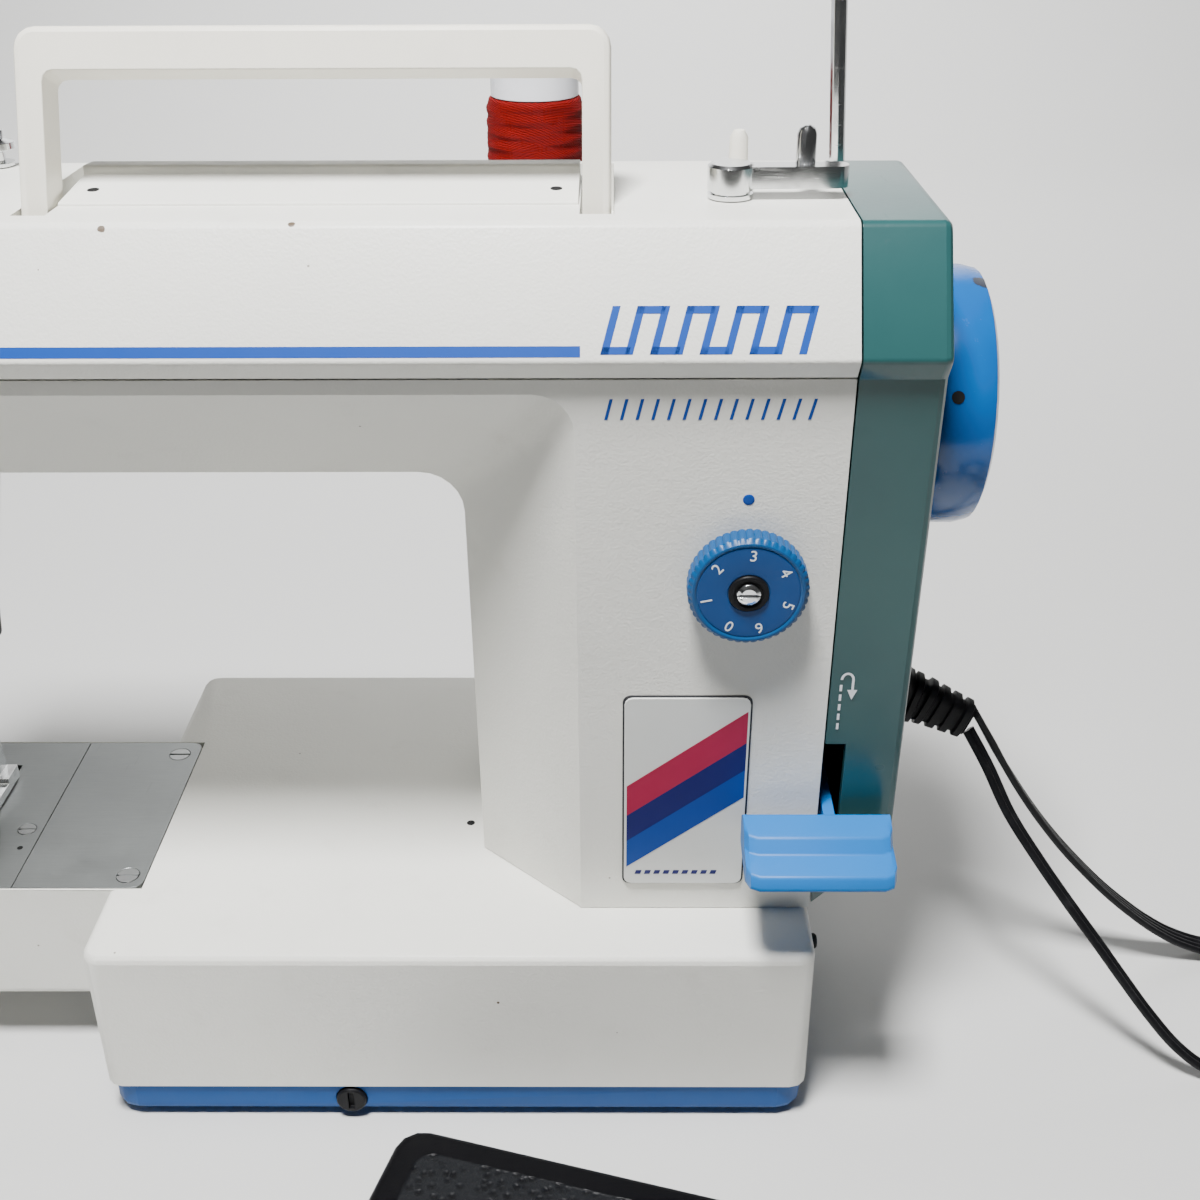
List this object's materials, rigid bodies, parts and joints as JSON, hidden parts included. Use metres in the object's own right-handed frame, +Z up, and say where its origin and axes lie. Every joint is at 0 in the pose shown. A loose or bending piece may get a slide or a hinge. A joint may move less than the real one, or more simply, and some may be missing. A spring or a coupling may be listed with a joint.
{
  "type": "leather sewing machine",
  "caption": "Free-arm straight-stitch sewing machine for leather, with carry handle, stitch dial, reverse lever, hand wheel, thread stand and foot pedal.",
  "frame": {"origin": "middle of the box round the machine and its pedal, on the surface they stand on", "axes": "+X along the arm towards the hand wheel, -Y towards the user, +Z up"},
  "size_m": [0.6067, 0.4005, 0.496],
  "materials": {
    "white_paint": "fine orange-peel enamel, semi-gloss",
    "blue_plastic": "moulded, semi-gloss",
    "black_plastic": "moulded, satin",
    "black_rubber": "matt",
    "satin_steel": "ground and lightly worn",
    "badge_plastic": "printed inlay with slanting colour bands",
    "teal_paint": "gloss enamel",
    "bronze": "sintered bronze",
    "motor_metal": "painted can",
    "chrome": "polished plate",
    "shaft_steel": "turned",
    "wheel_paint": "gloss enamel with chips on the rim",
    "dial_plastic": "moulded, fluted pale rim, printed numbers",
    "lever_plastic": "moulded, semi-gloss",
    "ivory_plastic": "fine moulded grain",
    "spool_plastic": "moulded",
    "red_thread": "wound polyester thread",
    "pedal_plastic": "smooth rim round a coarse grain",
    "cord_vinyl": "ribbed flexible vinyl"
  },
  "bodies": {
    "machine": {"bed_casting": "white_paint", "base_tray": "blue_plastic", "tray_plug": "black_plastic", "foot_1": "black_rubber", "foot_2": "black_rubber", "foot_3": "black_rubber", "foot_4": "black_rubber", "slide_plate": "satin_steel", "needle_plate": "satin_steel", "plate_screw_rear": "satin_steel", "plate_screw_front": "satin_steel", "needle_plate_screw": "satin_steel", "arm_casting": "white_paint", "top_cover": "white_paint", "badge_plate": "badge_plastic", "end_cover": "teal_paint", "face_cover": "white_paint", "main_bush_right": "bronze", "main_bush_left": "bronze", "timing_belt": "black_rubber", "motor": "motor_metal", "drive_belt": "black_rubber", "thread_rod": "chrome", "thread_guide": "chrome", "spool_bracket": "satin_steel", "pretension_post": "chrome", "connector_plug": "black_plastic", "pedal_base": "pedal_plastic", "mains_lead": "cord_vinyl", "mains_coil": "cord_vinyl", "mains_plug": "cord_vinyl", "pedal_lead": "cord_vinyl", "pedal_lead_coil": "cord_vinyl", "pedal_lead_end": "cord_vinyl"},
    "main_shaft": {"main_shaft": "shaft_steel", "hand_wheel": "wheel_paint", "crank_disc": "shaft_steel", "upper_pulley": "shaft_steel"},
    "lower_shaft": {"lower_shaft": "shaft_steel", "lower_pulley": "shaft_steel", "hook": "chrome"},
    "motor_shaft": {"motor_pulley": "shaft_steel"},
    "needle_bar": {"needle_bar": "chrome", "needle": "chrome"},
    "take_up_lever": {"take_up_lever": "chrome"},
    "presser": {"presser_bar": "chrome", "presser_foot": "chrome"},
    "lifter_lever": {"lifter_lever": "black_plastic"},
    "feed_dog": {"feed_dog": "satin_steel"},
    "stitch_dial": {"stitch_dial": "dial_plastic", "dial_screw": "chrome"},
    "tension_knob": {"tension_knob": "blue_plastic"},
    "reverse_lever": {"reverse_lever": "lever_plastic"},
    "carry_handle": {"carry_handle": "ivory_plastic"},
    "winder_lever": {"winder_lever": "chrome"},
    "winder_spindle": {"winder_spindle": "ivory_plastic"},
    "spool": {"spool": "spool_plastic", "thread_winding": "red_thread"},
    "hook_door": {"hook_door": "white_paint"},
    "pedal_plate": {"pedal_plate": "pedal_plastic"}
  },
  "joints": [
    {"name": "main_shaft_spin", "type": "hinge", "parent": "machine", "child": "main_shaft", "pos_m": [0.07441, 0.07122, 0.236], "axis": [1, 0, 0], "continuous": true},
    {"name": "lower_shaft_spin", "type": "hinge", "parent": "machine", "child": "lower_shaft", "pos_m": [0.07441, 0.07122, 0.042], "axis": [1, 0, 0], "continuous": true},
    {"name": "motor_spin", "type": "hinge", "parent": "machine", "child": "motor_shaft", "pos_m": [0.07441, 0.09522, 0.12], "axis": [1, 0, 0], "continuous": true},
    {"name": "needle_bar_slide", "type": "slide", "parent": "machine", "child": "needle_bar", "axis": [0, 0, 1], "range_m": [-0.031, 0]},
    {"name": "take_up_swing", "type": "hinge", "parent": "machine", "child": "take_up_lever", "pos_m": [-0.15759, 0.04522, 0.232], "axis": [1, 0, 0], "range_deg": [0, 37]},
    {"name": "lifter_turn", "type": "hinge", "parent": "machine", "child": "lifter_lever", "pos_m": [-0.15759, 0.11322, 0.176], "axis": [0, 1, 0], "range_deg": [0, 85]},
    {"name": "presser_slide", "type": "slide", "parent": "machine", "child": "presser", "axis": [0, 0, 1], "range_m": [0, 0.0072]},
    {"name": "feed_slide", "type": "slide", "parent": "machine", "child": "feed_dog", "axis": [0, 1, 0], "range_m": [-0.0025, 0.0025]},
    {"name": "stitch_dial_turn", "type": "hinge", "parent": "machine", "child": "stitch_dial", "pos_m": [0.11741, 0.01167, 0.201], "axis": [0, -0.9982, -0.0593], "range_deg": [-130, 130]},
    {"name": "tension_turn", "type": "hinge", "parent": "machine", "child": "tension_knob", "pos_m": [-0.15459, 0.0134, 0.172], "axis": [0, -0.9982, -0.0593], "range_deg": [-150, 150]},
    {"name": "reverse_press", "type": "hinge", "parent": "machine", "child": "reverse_lever", "pos_m": [0.14761, 0.05822, 0.112], "axis": [1, 0, 0], "range_deg": [0, 16], "stiffness_Nm_per_rad": 0.4, "springref_deg": -8.59},
    {"name": "handle_fold", "type": "hinge", "parent": "machine", "child": "carry_handle", "pos_m": [-0.00359, 0.03922, 0.2965], "axis": [1, 0, 0], "range_deg": [-68, 18]},
    {"name": "winder_swing", "type": "hinge", "parent": "machine", "child": "winder_lever", "pos_m": [0.11141, 0.04822, 0.303], "axis": [0, 0, 1], "range_deg": [0, 25]},
    {"name": "winder_spin", "type": "hinge", "parent": "machine", "child": "winder_spindle", "pos_m": [0.11541, 0.07322, 0.303], "axis": [0, 0, 1], "continuous": true},
    {"name": "spool_spin", "type": "hinge", "parent": "machine", "child": "spool", "pos_m": [0.05141, 0.16322, 0.262], "axis": [0, 0, 1], "continuous": true},
    {"name": "hook_door_open", "type": "hinge", "parent": "machine", "child": "hook_door", "pos_m": [-0.20359, 0.08322, 0.028], "axis": [0, 1, 0], "range_deg": [-80, 0]},
    {"name": "pedal_press", "type": "hinge", "parent": "machine", "child": "pedal_plate", "pos_m": [0.09635, -0.06303, 0.013], "axis": [0.9622, -0.2723, 0], "range_deg": [0, 5], "stiffness_Nm_per_rad": 8, "springref_deg": -6.88}
  ],
  "couplings": [
    {"joint": "lower_shaft_spin", "follows": "main_shaft_spin", "ratio": 2},
    {"joint": "motor_spin", "follows": "main_shaft_spin", "ratio": 3.5},
    {"joint": "take_up_swing", "follows": "needle_bar_slide", "rad_per_m": -20},
    {"joint": "lifter_turn", "follows": "presser_slide", "rad_per_m": 206}
  ]
}
